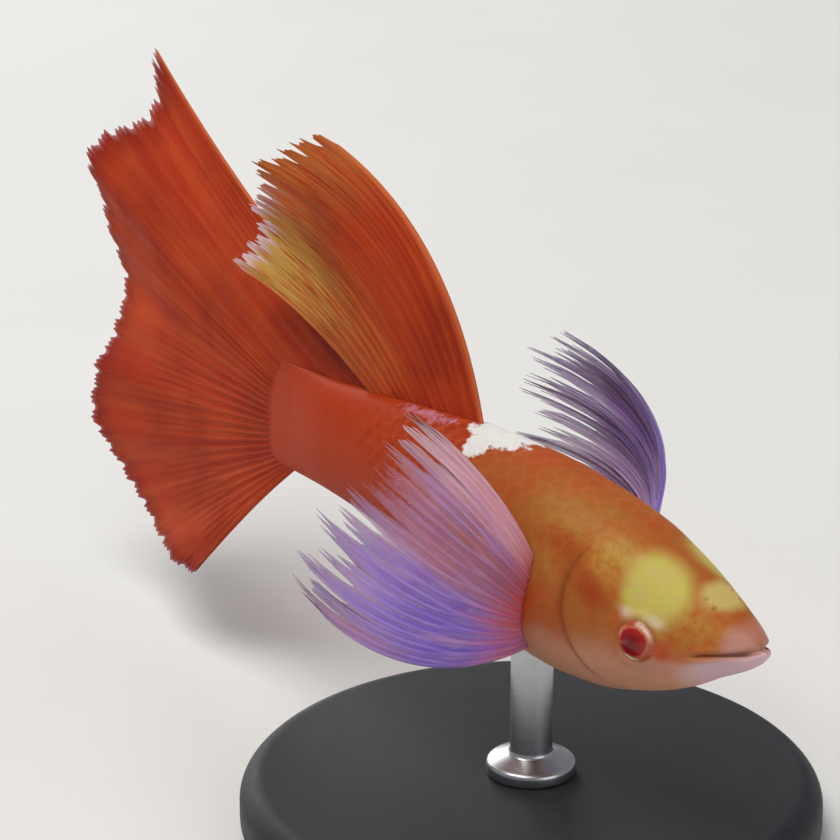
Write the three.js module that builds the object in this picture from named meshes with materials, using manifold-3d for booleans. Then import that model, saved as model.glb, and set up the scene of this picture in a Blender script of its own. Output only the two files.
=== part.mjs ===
// A male fancy guppy with a wide red tail and large pectoral fins, life size, held on a small display stand.
// Units are millimetres and +Z is up. The fish faces +X, its left side is +Y.
// The origin is the centre of the underside of the stand's base.

import * as THREE from 'three';
import { mergeVertices } from 'three/addons/utils/BufferGeometryUtils.js';
import Module from 'manifold-3d';

const wasm = await Module();
wasm.setup();

// Gaps and wall sizes shared by all pieces
const GAP = 0.3;
const MEMBRANE = 0.5;
const RAY = 0.8;
const FIN_EDGE = 0.22;
const ROOT_DEPTH = 1.1;

// Body: station shares of the length, with back, belly, half width and level of the widest point at each
const BODY_LENGTH = 25.8;
const SHARE = [0, 0.02, 0.05, 0.1, 0.16, 0.24, 0.33, 0.43, 0.54, 0.66, 0.8, 0.92, 1];
const BACK = [0.45, 0.75, 1.1, 1.65, 2.2, 2.75, 3.1, 3.3, 3.2, 2.85, 2.4, 2.15, 2.15];
const BELLY = [0.1, 0.7, 1.4, 2.4, 3.2, 3.9, 4.15, 3.95, 3.4, 2.8, 2.35, 2.2, 2.2];
const HALF_WIDTH = [0.4, 0.9, 1.3, 1.8, 2.2, 2.55, 2.65, 2.45, 2.1, 1.65, 1.15, 0.8, 0.6];
const WIDEST_LEVEL = [0.2, 0, -0.3, -0.75, -0.8, -0.6, -0.5, -0.35, -0.2, -0.1, 0, 0, 0];
const BODY_SIDES = 36;

// Pose: the nose points a little down, the left side hangs a little, the rear half bends left and droops
const NOSE_DOWN = 7.5;
const LEAN_LEFT = 4.9;
const TAIL_BEND = 15.3;
const TAIL_DROOP = 11;
const BEND_START = 0.3;

// Places along the body, from the snout
const GILL_STATION = 7;
const GILL_NAPE = 1.3;
const GILL_THROAT = 2.6;
const GILL_FLARE = 0.16;
const PEDUNCLE_STATION = 19.6;
const ROD_STATION = 11;

// Head
const MOUTH_LENGTH = 1.9;
const MOUTH_SLOPE = 0.39;
const MOUTH_SLIT = 0.24;
const LOWER_JAW = 0.3;
const LIP_HEIGHT = 0.14;
const LIP_ANGLE = 26;
const EYE_STATION = 3.95;
const EYE_LEVEL = -0.65;
const EYE_RADIUS = 0.95;
const EYE_SPAN = 1.5;
const NOSTRIL_STATION = 1.75;
const NOSTRIL_SPAN = 0.72;
const NOSTRIL_RADIUS = 0.17;

// Stand
const BASE_RADIUS = 11;
const BASE_HEIGHT = 2.4;
const BASE_BEVEL = 0.5;
const ROD_RADIUS = 0.8;
const ROD_LENGTH = 5.6;

// Colours of the fish and of its stand
const FINISH = {
  body: { color: 0xb06a38, roughness: 0.4 },
  fin: { color: 0xa53c23, roughness: 0.5 },
  pectoral: { color: 0x8a78a8, roughness: 0.5 },
  eye: { color: 0x96201c, roughness: 0.1 },
  base: { color: 0x26282b, roughness: 0.4 },
  rod: { color: 0xb9bcc0, roughness: 0.25, metalness: 1 },
};

const radians = THREE.MathUtils.degToRad;
const lerp = THREE.MathUtils.lerp;
const clamp = THREE.MathUtils.clamp;
const smoothstep = THREE.MathUtils.smoothstep;

// A smooth curve through measured stations, without overshoot between them
function curveThrough(xs, ys) {
  const slopes = ys.slice(1).map((y, i) => (y - ys[i]) / (xs[i + 1] - xs[i]));
  const tangents = ys.map((_, i) => {
    if (i === 0) return slopes[0];
    if (i === ys.length - 1) return slopes[i - 1];
    const before = slopes[i - 1];
    const after = slopes[i];
    return before * after <= 0 ? 0 : (2 * before * after) / (before + after);
  });
  return (x) => {
    let i = 0;
    while (i < xs.length - 2 && x > xs[i + 1]) i += 1;
    const h = xs[i + 1] - xs[i];
    const t = clamp((x - xs[i]) / h, 0, 1);
    const a = ys[i] * (1 + 2 * t) * (1 - t) ** 2 + tangents[i] * h * t * (1 - t) ** 2;
    const b = ys[i + 1] * (3 - 2 * t) * t * t - tangents[i + 1] * h * t * t * (1 - t);
    return a + b;
  };
}

const backAt = curveThrough(SHARE, BACK);
const bellyAt = curveThrough(SHARE, BELLY);
const widthAt = curveThrough(SHARE, HALF_WIDTH);
const levelAt = curveThrough(SHARE, WIDEST_LEVEL);

// Spine: points and axes every fraction of a millimetre, turned into the pose
const SPINE_STEPS = 160;
const pose = new THREE.Quaternion()
  .setFromAxisAngle(new THREE.Vector3(0, 1, 0), radians(NOSE_DOWN))
  .multiply(new THREE.Quaternion().setFromAxisAngle(new THREE.Vector3(1, 0, 0), -radians(LEAN_LEFT)));

function localAxes(s) {
  const bend = clamp((s / BODY_LENGTH - BEND_START) / (1 - BEND_START), 0, 1.1) ** 1.5;
  const yaw = radians(TAIL_BEND) * bend;
  const droop = radians(TAIL_DROOP) * bend;
  const back = new THREE.Vector3(
    -Math.cos(yaw) * Math.cos(droop),
    Math.sin(yaw) * Math.cos(droop),
    -Math.sin(droop),
  );
  const left = new THREE.Vector3(Math.sin(yaw), Math.cos(yaw), 0);
  const up = new THREE.Vector3().crossVectors(left, back);
  return { back, left, up };
}

const spinePoints = [new THREE.Vector3()];
const spineStep = (BODY_LENGTH * 1.1) / SPINE_STEPS;
for (let i = 1; i <= SPINE_STEPS; i += 1) {
  const { back } = localAxes((i - 0.5) * spineStep);
  spinePoints.push(spinePoints[i - 1].clone().addScaledVector(back, spineStep));
}

function rawSpine(s) {
  const x = clamp(s / spineStep, 0, SPINE_STEPS - 1e-6);
  const i = Math.floor(x);
  const p = spinePoints[i].clone().lerp(spinePoints[i + 1], x - i);
  if (s < 0) p.x -= s;
  return p.applyQuaternion(pose);
}

// The rod stands on the origin and reaches the belly at its station
const rodSpine = rawSpine(ROD_STATION);
const spineHeight = BASE_HEIGHT + ROD_LENGTH + bellyAt(ROD_STATION / BODY_LENGTH);
const shift = new THREE.Vector3(-rodSpine.x, -rodSpine.y, spineHeight - rodSpine.z);

function frameAt(s) {
  const { back, left, up } = localAxes(s);
  [back, left, up].forEach((axis) => axis.applyQuaternion(pose));
  return { point: rawSpine(s).add(shift), back, left, up };
}

// A point given by its station, its distance to the left and its height over the spine
function place(s, left, up) {
  const f = frameAt(s);
  return f.point.addScaledVector(f.left, left).addScaledVector(f.up, up);
}

// Height of the lips on the skin: a ridge on either side of the mouth line, which lies at the widest level
function lipRise(s, angle) {
  const across = Math.asin(Math.abs(Math.sin(angle))) / radians(LIP_ANGLE);
  const along = 1 - smoothstep(s, MOUTH_LENGTH * 0.6, MOUTH_LENGTH * 1.2);
  return LIP_HEIGHT * along * across * Math.exp(1 - across ** 2) * smoothstep(s, -LOWER_JAW, 0.4);
}

// Skin point at a station and an angle round the body, 0 at the left side and 90 degrees on the back
function skin(s, angle, grow = 0) {
  const share = clamp(s / BODY_LENGTH, 0, 1);
  const c = Math.cos(angle);
  const n = Math.sin(angle);
  const level = levelAt(share);
  const flatness = lerp(0.8, 1, smoothstep(share, 0.1, 0.6));
  const power = n > 0 ? flatness : 0.95;
  const height = n > 0 ? backAt(share) - level : bellyAt(share) + level;
  const rise = grow + lipRise(s, angle);
  const y = (widthAt(share) + rise) * Math.sign(c) * Math.abs(c) ** power;
  const z = level + (height + rise) * Math.sign(n) * Math.abs(n) ** power;
  const forward = n < 0 ? LOWER_JAW * (1 - smoothstep(s, 0, 1.6)) * Math.abs(n) ** 0.3 : 0;
  return place(s - forward, y, z);
}

// Rear edge of the gill cover: it reaches furthest back at mid height
function gillStation(angle) {
  const n = Math.sin(angle + 0.12);
  return GILL_STATION - (n > 0 ? GILL_NAPE : GILL_THROAT) * n * n;
}

// Closed body length between two edges, each a station for every angle
function loft(startAt, endAt, rings, grow = 0, flare = 0) {
  const positions = [];
  const indices = [];
  for (let r = 0; r <= rings; r += 1) {
    const t = r / rings;
    for (let k = 0; k < BODY_SIDES; k += 1) {
      const angle = (2 * Math.PI * k) / BODY_SIDES;
      const s = lerp(startAt(angle), endAt(angle), t);
      const lift = grow + flare * Math.abs(Math.cos(angle)) * smoothstep(t, 0.75, 1);
      positions.push(...skin(s, angle, lift).toArray());
    }
  }
  const ring = (r, k) => r * BODY_SIDES + (k % BODY_SIDES);
  for (let r = 0; r < rings; r += 1) {
    for (let k = 0; k < BODY_SIDES; k += 1) {
      indices.push(ring(r, k), ring(r, k + 1), ring(r + 1, k));
      indices.push(ring(r, k + 1), ring(r + 1, k + 1), ring(r + 1, k));
    }
  }
  [[0, startAt], [rings, endAt]].forEach(([r, edge]) => {
    const middle = (edge(0) + edge(Math.PI)) / 2;
    const centre = positions.length / 3;
    positions.push(...place(middle, 0, levelAt(middle / BODY_LENGTH)).toArray());
    for (let k = 0; k < BODY_SIDES; k += 1) {
      const pair = [ring(r, k), ring(r, k + 1)];
      indices.push(centre, ...(r === 0 ? pair.reverse() : pair));
    }
  });
  return closedGeometry(positions, indices);
}

// Geometry whose faces point out, whichever way round its lists were made
function closedGeometry(positions, indices) {
  const volume = (list) => {
    const corner = (i) => new THREE.Vector3().fromArray(positions, 3 * i);
    let sum = 0;
    for (let i = 0; i < list.length; i += 3) {
      sum += corner(list[i]).dot(corner(list[i + 1]).cross(corner(list[i + 2])));
    }
    return sum;
  };
  const outward = volume(indices) > 0 ? indices : indices.slice().reverse();
  const geometry = new THREE.BufferGeometry();
  geometry.setAttribute('position', new THREE.Float32BufferAttribute(positions, 3));
  geometry.setIndex(outward);
  return geometry;
}

function toSolid(geometry) {
  const bare = geometry.clone();
  ['normal', 'uv'].forEach((name) => bare.deleteAttribute(name));
  const merged = mergeVertices(bare, 1e-4);
  return new wasm.Manifold(new wasm.Mesh({
    numProp: 3,
    vertProperties: new Float32Array(merged.attributes.position.array),
    triVerts: new Uint32Array(merged.index.array),
  }));
}

// The largest closed surface of a solid, as a geometry
function toGeometry(solid) {
  const pieces = solid.decompose();
  const largest = pieces.reduce((a, b) => (b.volume() > a.volume() ? b : a));
  const mesh = largest.getMesh();
  const geometry = new THREE.BufferGeometry();
  geometry.setAttribute('position', new THREE.Float32BufferAttribute(mesh.vertProperties, 3));
  geometry.setIndex(Array.from(mesh.triVerts));
  return geometry;
}

const cut = (geometry, ...tools) => toGeometry(
  tools.reduce((solid, tool) => solid.subtract(toSolid(tool)), toSolid(geometry)),
);

// Direction made of backward, outward and upward shares in the axes of a station
function heading(s, back, out, up, side = 1) {
  const f = frameAt(s);
  return new THREE.Vector3()
    .addScaledVector(f.back, back)
    .addScaledVector(f.left, out * side)
    .addScaledVector(f.up, up)
    .normalize();
}

// A fin of rays: each column bends from its start to its end direction, and every second one is a ridge.
// The columns between the ridges follow the same curve and stop short of its end.
// The same grid of triangles covers both faces.
function rayFin({ rays, steps, root, start, end, length, notch = 0.06, wave = () => 0, thick = 1 }) {
  const columns = 2 * rays - 1;
  const sheet = [];
  for (let i = 0; i < columns; i += 1) {
    const u = i / (columns - 1);
    const share = i % 2 === 0 ? 1 : 1 - notch;
    const step = (length(u) * share) / steps;
    const from = start(u);
    const to = end(u);
    const column = [root(u)];
    for (let j = 1; j <= steps; j += 1) {
      const way = from.clone().lerp(to, (share * (j - 0.5)) / steps).normalize();
      column.push(column[j - 1].clone().addScaledVector(way, step));
    }
    sheet.push(column);
  }
  const normals = sheet.map((column, i) => column.map((_, j) => {
    const along = column[Math.min(j + 1, steps)].clone().sub(column[Math.max(j - 1, 0)]);
    const near = sheet[Math.max(i - 1, 0)][j];
    const far = sheet[Math.min(i + 1, columns - 1)][j];
    return along.cross(far.clone().sub(near)).normalize();
  }));
  const positions = [];
  [1, -1].forEach((side) => sheet.forEach((column, i) => column.forEach((point, j) => {
    const v = j / steps;
    const full = (i % 2 === 0 ? RAY : MEMBRANE) * thick;
    const half = side * lerp(full, FIN_EDGE, smoothstep(v, 0.55, 1)) / 2;
    const sway = wave(i / (columns - 1), v);
    positions.push(...point.clone().addScaledVector(normals[i][j], half + sway).toArray());
  })));
  const face = columns * (steps + 1);
  const at = (i, j, side) => side * face + i * (steps + 1) + j;
  const indices = [];
  const quad = (a, b, c, d) => indices.push(a, b, c, a, c, d);
  for (let i = 0; i < columns - 1; i += 1) {
    for (let j = 0; j < steps; j += 1) {
      quad(at(i, j, 0), at(i + 1, j, 0), at(i + 1, j + 1, 0), at(i, j + 1, 0));
      indices.push(at(i, j, 1), at(i + 1, j + 1, 1), at(i + 1, j, 1));
      indices.push(at(i, j, 1), at(i, j + 1, 1), at(i + 1, j + 1, 1));
    }
    quad(at(i, 0, 1), at(i + 1, 0, 1), at(i + 1, 0, 0), at(i, 0, 0));
    quad(at(i, steps, 0), at(i + 1, steps, 0), at(i + 1, steps, 1), at(i, steps, 1));
  }
  for (let j = 0; j < steps; j += 1) {
    quad(at(0, j, 1), at(0, j, 0), at(0, j + 1, 0), at(0, j + 1, 1));
    quad(at(columns - 1, j, 0), at(columns - 1, j, 1), at(columns - 1, j + 1, 1), at(columns - 1, j + 1, 0));
  }
  return closedGeometry(positions, indices);
}

// Values spread over a fin from its first to its last ray
const spread = (values) => curveThrough(values.map((_, i) => i / (values.length - 1)), values);
const mix = (a, b) => (u) => a.clone().lerp(b, u).normalize();

// Body pieces
const snout = () => 0;
const gapBehindGill = (angle) => gillStation(angle) + GAP;
const tailCut = () => PEDUNCLE_STATION;
const tailStart = () => PEDUNCLE_STATION + GAP;
const tailEnd = () => BODY_LENGTH;

const grownTrunk = loft(() => GILL_STATION - 2.8, () => PEDUNCLE_STATION + 2, 30, GAP);
const grownPeduncle = loft(() => PEDUNCLE_STATION, () => BODY_LENGTH + GAP, 9, GAP);

function mouthCutter() {
  const width = 2 * HALF_WIDTH[4];
  const slit = new THREE.BoxGeometry(MOUTH_LENGTH + 1, width, MOUTH_SLIT);
  slit.translate(-(MOUTH_LENGTH - 1) / 2, 0, 0);
  slit.rotateY(-Math.atan(MOUTH_SLOPE)).translate(0, 0, WIDEST_LEVEL[0]);
  const { point, back, left, up } = frameAt(0);
  const axes = new THREE.Matrix4().makeBasis(back.clone().negate(), left, up);
  return slit.applyMatrix4(axes).translate(...point.toArray());
}

function ball(centre, radius, across = 24, high = 16) {
  return new THREE.SphereGeometry(radius, across, high).translate(...centre.toArray());
}

function nostrilCutter(side) {
  const share = NOSTRIL_STATION / BODY_LENGTH;
  return ball(place(NOSTRIL_STATION, side * NOSTRIL_SPAN, backAt(share) * 0.93), NOSTRIL_RADIUS * 1.6, 8, 6);
}

const eyeCentre = (side) => place(EYE_STATION, side * EYE_SPAN, EYE_LEVEL);

function headGeometry() {
  const whole = loft(snout, gillStation, 26, 0, GILL_FLARE);
  const sockets = [1, -1].map((side) => ball(eyeCentre(side), EYE_RADIUS + GAP));
  return cut(whole, mouthCutter(), ...sockets, nostrilCutter(1), nostrilCutter(-1));
}

// Tail fin: a fan that is longest above, ripples across its rays and runs forward over the peduncle
const CAUDAL_FORWARD = 3.3;

function caudalFin() {
  const startAngle = spread([25, 23, 15, 4, -8, -20, -33]);
  const endAngle = spread([38, 26, 17, 3, -8, -21, -46]);
  const reach = spread([20.9, 21.1, 18.7, 16.4, 17.6, 14.6, 9.3]);
  const end = BODY_LENGTH + GAP;
  const way = (angle) => (u) => heading(end, 1, 0, Math.tan(radians(angle(u))));
  const fin = rayFin({
    rays: 17,
    steps: 14,
    root: (u) => {
      const station = end - CAUDAL_FORWARD * (1 - smoothstep(u, 0, 0.3));
      const share = Math.min(station / BODY_LENGTH, 1);
      return place(station, 0, lerp(backAt(share), -bellyAt(share), u) * 0.93);
    },
    start: way(startAngle),
    end: way(endAngle),
    length: reach,
    wave: (u, v) => 0.55 * v * v * Math.sin(2 * Math.PI * (2.6 * u + 0.1)),
  });
  return cut(fin, grownPeduncle);
}

// Dorsal fin: tall rays that sweep back over the tail
const DORSAL_START = 13.9;
const DORSAL_END = 18.6;

function dorsalFin() {
  const station = (u) => lerp(DORSAL_START, DORSAL_END, u);
  const rise = spread([74, 62, 50, 39, 30]);
  const fall = spread([2, -2, -3, -3, -4]);
  const reach = spread([14.8, 15.2, 14, 12.4, 10.8]);
  const fin = rayFin({
    rays: 10,
    steps: 13,
    root: (u) => place(station(u), 0, backAt(station(u) / BODY_LENGTH) - ROOT_DEPTH),
    start: (u) => heading(station(u), Math.cos(radians(rise(u))), 0, Math.sin(radians(rise(u)))),
    end: (u) => heading(station(u), Math.cos(radians(fall(u))), 0, Math.sin(radians(fall(u)))),
    length: (u) => reach(u) + ROOT_DEPTH,
    notch: 0.08,
    wave: (u, v) => 0.4 * v * v * Math.sin(2 * Math.PI * (1.3 * u + 0.35)),
  });
  return cut(fin, grownTrunk);
}

// Pectoral fins: wide fans held out from the side just behind the gill cover
const PECTORAL_STATION = 8.5;
const PECTORAL_TOP = -1.3;
const PECTORAL_FOOT = -2.9;

function pectoralFin(side, first, last, firstEnd, lastEnd, lengths) {
  const reach = spread(lengths);
  const direction = (shares) => heading(PECTORAL_STATION, ...shares, side);
  const rootAt = (u) => {
    const station = PECTORAL_STATION + 0.2 * u;
    const half = widthAt(station / BODY_LENGTH);
    return place(station, side * (half - ROOT_DEPTH - 0.5 * u), lerp(PECTORAL_TOP, PECTORAL_FOOT, u));
  };
  const fin = rayFin({
    rays: 11,
    steps: 12,
    root: rootAt,
    start: mix(direction(first), direction(last)),
    end: mix(direction(firstEnd), direction(lastEnd)),
    length: (u) => reach(u) + ROOT_DEPTH,
    notch: 0.09,
  });
  return cut(fin, grownTrunk);
}

// Pelvic fins: small and pointed, folded back under the belly
const PELVIC_STATION = 12.4;

function pelvicFin(side) {
  const depth = bellyAt(PELVIC_STATION / BODY_LENGTH);
  const reach = spread([3.4, 4, 2.6]);
  const fin = rayFin({
    rays: 5,
    steps: 7,
    root: (u) => place(PELVIC_STATION + 0.5 * u, side * (0.75 + 0.35 * u), 0.75 - depth),
    start: (u) => heading(PELVIC_STATION, 0.6, 0.25 + 0.4 * u, -0.8, side),
    end: (u) => heading(PELVIC_STATION, 0.95, 0.1 + 0.4 * u, -0.1, side),
    length: (u) => reach(u) + 0.6,
    thick: 0.85,
  });
  return cut(fin, grownTrunk);
}

// Gonopodium: the male's narrow anal fin, folded back along the belly
const GONOPODIUM_STATION = 14.9;

function gonopodium() {
  const depth = bellyAt(GONOPODIUM_STATION / BODY_LENGTH);
  const fin = rayFin({
    rays: 3,
    steps: 12,
    root: (u) => place(GONOPODIUM_STATION + 0.9 * u, 0, 0.7 - depth),
    start: () => heading(GONOPODIUM_STATION, 0.55, 0, -0.9),
    end: (u) => heading(GONOPODIUM_STATION, 1, 0, 0.42 + 0.04 * u),
    length: (u) => 7 - 1.7 * u,
    notch: 0,
  });
  return cut(fin, grownTrunk);
}

// Stand
function baseGeometry() {
  const profile = [
    [0, 0],
    [BASE_RADIUS - BASE_BEVEL, 0],
    [BASE_RADIUS, BASE_BEVEL],
    [BASE_RADIUS, BASE_HEIGHT - BASE_BEVEL],
    [BASE_RADIUS - BASE_BEVEL, BASE_HEIGHT],
    [0, BASE_HEIGHT],
  ].map(([r, z]) => new THREE.Vector2(r, z));
  return new THREE.LatheGeometry(profile, 48).rotateX(Math.PI / 2);
}

function rodGeometry() {
  const top = BASE_HEIGHT + ROD_LENGTH + 2;
  const foot = BASE_HEIGHT + GAP;
  const rod = new THREE.CylinderGeometry(ROD_RADIUS, ROD_RADIUS, top - foot, 20);
  rod.rotateX(Math.PI / 2).translate(0, 0, (top + foot) / 2);
  return cut(rod, grownTrunk);
}

const guppy = new THREE.Group();

function add(name, geometry, finish) {
  const mesh = new THREE.Mesh(geometry, new THREE.MeshStandardMaterial(finish));
  mesh.name = name;
  guppy.add(mesh);
}

add('head', headGeometry(), FINISH.body);
add('trunk', loft(gapBehindGill, tailCut, 22), FINISH.body);
add('peduncle', loft(tailStart, tailEnd, 9), FINISH.body);
add('eye_left', ball(eyeCentre(1), EYE_RADIUS), FINISH.eye);
add('eye_right', ball(eyeCentre(-1), EYE_RADIUS), FINISH.eye);
add('caudal_fin', caudalFin(), FINISH.fin);
add('dorsal_fin', dorsalFin(), FINISH.fin);
add('pectoral_fin_left', pectoralFin(
  1,
  [0.04, 0.87, 0.48],
  [0.05, 0.94, 0.34],
  [0.65, -0.69, 0.32],
  [0.72, -0.66, 0.18],
  [10.5, 11.2, 11.6, 11.6, 11.3],
), FINISH.pectoral);
add('pectoral_fin_right', pectoralFin(
  -1,
  [-0.14, 0.78, 0.61],
  [0.07, 0.94, -0.33],
  [0.86, 0.15, 0.48],
  [0.73, 0.2, 0.66],
  [8.9, 8.8, 8.8, 9.4, 10],
), FINISH.pectoral);
add('pelvic_fin_left', pelvicFin(1), FINISH.fin);
add('pelvic_fin_right', pelvicFin(-1), FINISH.fin);
add('gonopodium', gonopodium(), FINISH.fin);
add('stand_base', baseGeometry(), FINISH.base);
add('stand_rod', rodGeometry(), FINISH.rod);

export default guppy;
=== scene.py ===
"""Looks of a male fancy guppy with a wide red tail, held on a small display stand."""

import math

import bmesh
import bpy
import numpy as np
from mathutils import Matrix, Vector


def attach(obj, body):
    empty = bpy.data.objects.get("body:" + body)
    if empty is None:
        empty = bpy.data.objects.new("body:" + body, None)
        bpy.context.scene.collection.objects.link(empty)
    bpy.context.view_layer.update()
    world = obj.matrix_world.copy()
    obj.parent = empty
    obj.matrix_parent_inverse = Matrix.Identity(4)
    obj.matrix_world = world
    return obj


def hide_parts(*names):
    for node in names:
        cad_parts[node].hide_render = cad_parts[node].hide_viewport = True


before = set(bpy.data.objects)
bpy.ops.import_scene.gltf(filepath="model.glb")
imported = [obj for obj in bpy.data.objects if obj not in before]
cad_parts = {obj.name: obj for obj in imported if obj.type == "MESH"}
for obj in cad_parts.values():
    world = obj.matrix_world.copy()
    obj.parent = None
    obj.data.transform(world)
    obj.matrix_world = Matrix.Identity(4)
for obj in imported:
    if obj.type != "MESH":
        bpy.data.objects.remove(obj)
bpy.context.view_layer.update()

# Lengths below are millimetres, as in the solids, and MM turns them into metres
MM = 0.001

# Body, as in the solids: its section at shares of the body's length
BODY_LENGTH = 25.8
SHARE = [0, 0.02, 0.05, 0.1, 0.16, 0.24, 0.33, 0.43, 0.54, 0.66, 0.8, 0.92, 1]
BACK = [0.45, 0.75, 1.1, 1.65, 2.2, 2.75, 3.1, 3.3, 3.2, 2.85, 2.4, 2.15, 2.15]
BELLY = [0.1, 0.7, 1.4, 2.4, 3.2, 3.9, 4.15, 3.95, 3.4, 2.8, 2.35, 2.2, 2.2]
HALF_WIDTH = [0.4, 0.9, 1.3, 1.8, 2.2, 2.55, 2.65, 2.45, 2.1, 1.65, 1.15, 0.8, 0.6]
WIDEST_LEVEL = [0.2, 0, -0.3, -0.75, -0.8, -0.6, -0.5, -0.35, -0.2, -0.1, 0, 0, 0]

# Pose, as in the solids, in degrees and shares of the body's length
NOSE_DOWN = 7.5
LEAN_LEFT = 4.9
TAIL_BEND = 15.3
TAIL_DROOP = 11
BEND_START = 0.3
BEND_LIMIT = 1.1
BEND_POWER = 1.5

# Places on the body: stations from the snout backward, levels over the spine, spans from the middle outward
ROD_STATION = 11
GILL_STATION = 7
GILL_NAPE = 1.3
GILL_THROAT = 2.6
MOUTH_LENGTH = 1.9
LOWER_JAW = 0.3
JAW_LENGTH = 1.6
EYE_STATION = 3.95
EYE_LEVEL = -0.65
EYE_RADIUS = 1.0
EYE_SPAN = 1.48
ROOT_DEPTH = 1.1

# Stand, as in the solids
BASE_RADIUS = 11
BASE_HEIGHT = 2.4
ROD_RADIUS = 0.8
ROD_LENGTH = 5.6

# Its edges, its rod's collar, the length of rod in the belly, and the radius at a turned piece's axis
BASE_FOOT_EDGE = 0.5
BASE_TOP_EDGE = 0.6
COLLAR_RADIUS = 1.7
COLLAR_HEIGHT = 0.5
COLLAR_SLOPE = 0.35
ROD_SUNK = 0.7
AXIS_RADIUS = 0.02

# Camera: its direction from the fish, its distance, and where the snout lies off the middle of the view
CAMERA_AZIMUTH = -45
CAMERA_ELEVATION = 20
CAMERA_DISTANCE = 125
SNOUT_RIGHT = 11.88
SNOUT_BELOW = 8.22
LENS = 153.4

FLOOR_REACH = 2000
SEED = 7


def curve_through(xs, ys):
    """A smooth curve through measured stations, without overshoot between them."""
    xs = np.asarray(xs, float)
    ys = np.asarray(ys, float)
    slopes = np.diff(ys) / np.diff(xs)
    tangents = np.concatenate([slopes[:1], np.zeros(len(ys) - 2), slopes[-1:]])
    same = slopes[:-1] * slopes[1:] > 0
    total = np.where(same, slopes[:-1] + slopes[1:], 1)
    tangents[1:-1] = np.where(same, 2 * slopes[:-1] * slopes[1:] / total, 0)

    def curve(x):
        i = np.clip(np.searchsorted(xs, x, side="left") - 1, 0, len(xs) - 2)
        gap = xs[i + 1] - xs[i]
        t = np.clip((x - xs[i]) / gap, 0, 1)
        low = ys[i] * (1 + 2 * t) * (1 - t) ** 2 + tangents[i] * gap * t * (1 - t) ** 2
        high = ys[i + 1] * (3 - 2 * t) * t**2 - tangents[i + 1] * gap * t**2 * (1 - t)
        return low + high

    return curve


def spread(values):
    """Values spread evenly over a fin from its first to its last ray."""
    return curve_through(np.linspace(0, 1, len(values)), values)


def smooth(x, low, high):
    t = np.clip((x - low) / (high - low), 0, 1)
    return t * t * (3 - 2 * t)


def bell(x, middle, width):
    return np.exp(-(((x - middle) / width) ** 2))


def unit(v):
    return v / np.linalg.norm(v, axis=-1, keepdims=True)


back_at = curve_through(SHARE, BACK)
belly_at = curve_through(SHARE, BELLY)
width_at = curve_through(SHARE, HALF_WIDTH)
level_at = curve_through(SHARE, WIDEST_LEVEL)

pose = np.array(
    Matrix.Rotation(math.radians(NOSE_DOWN), 3, "Y")
    @ Matrix.Rotation(-math.radians(LEAN_LEFT), 3, "X")
)


def axes_at(s):
    """Backward, left and upward directions of the body at a station."""
    s = np.asarray(s, float)
    bend = np.clip((s / BODY_LENGTH - BEND_START) / (1 - BEND_START), 0, BEND_LIMIT) ** BEND_POWER
    yaw = math.radians(TAIL_BEND) * bend
    droop = math.radians(TAIL_DROOP) * bend
    back = np.stack([-np.cos(yaw) * np.cos(droop), np.sin(yaw) * np.cos(droop), -np.sin(droop)], -1)
    left = np.stack([np.sin(yaw), np.cos(yaw), np.zeros_like(yaw)], -1)
    return back @ pose.T, left @ pose.T, np.cross(left, back) @ pose.T


# Spine: a point at every step, from in front of the snout to past the end of the skin
SPINE_STEP = 0.05
SPINE_AHEAD = 3
SPINE_PAST = 5

spine_stations = np.arange(-SPINE_AHEAD, BODY_LENGTH + SPINE_PAST, SPINE_STEP)
spine_moves = axes_at(spine_stations + SPINE_STEP / 2)[0][:-1] * SPINE_STEP
spine_points = np.concatenate([np.zeros((1, 3)), np.cumsum(spine_moves, 0)])


def raw_spine(s):
    return np.stack([np.interp(s, spine_stations, spine_points[:, k]) for k in range(3)], -1)


spine_height = BASE_HEIGHT + ROD_LENGTH + belly_at(ROD_STATION / BODY_LENGTH)
spine_shift = np.array([0, 0, spine_height]) - raw_spine(ROD_STATION)


def place(s, left, up):
    """The point at a station, with its distance to the left and its height over the spine."""
    _, to_left, to_up = axes_at(s)
    moved = to_left * np.asarray(left)[..., None] + to_up * np.asarray(up)[..., None]
    return raw_spine(s) + spine_shift + moved


def heading(s, back, out, up, side=1):
    """A direction at a station, of backward, outward and upward shares. Side is 1 for left, -1 for right."""
    to_back, to_left, to_up = axes_at(s)
    shares = [np.asarray(share, float)[..., None] for share in (back, out, up)]
    return unit(to_back * shares[0] + to_left * shares[1] * side + to_up * shares[2])


def add_mesh(name, points, faces, material, floats=None):
    """A smooth mesh object in metres, with one number per vertex under each given name."""
    mesh = bpy.data.meshes.new(name)
    mesh.from_pydata((np.asarray(points) * MM).tolist(), [], faces)
    mesh.polygons.foreach_set("use_smooth", np.ones(len(mesh.polygons), bool))
    for key, values in (floats or {}).items():
        layer = mesh.attributes.new(key, "FLOAT", "POINT")
        layer.data.foreach_set("value", np.ascontiguousarray(values, np.float32).ravel())
    mesh.materials.append(material)
    piece = bpy.data.objects.new(name, mesh)
    bpy.context.scene.collection.objects.link(piece)
    return piece


def add_closed_mesh(name, points, faces, material, floats=None):
    """As add_mesh, with all faces turned over if the closed mesh was made inside out."""
    piece = add_mesh(name, points, faces, material, floats)
    work = bmesh.new()
    work.from_mesh(piece.data)
    if work.calc_volume(signed=True) < 0:
        bmesh.ops.reverse_faces(work, faces=work.faces)
    work.to_mesh(piece.data)
    work.free()
    return piece


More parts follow.
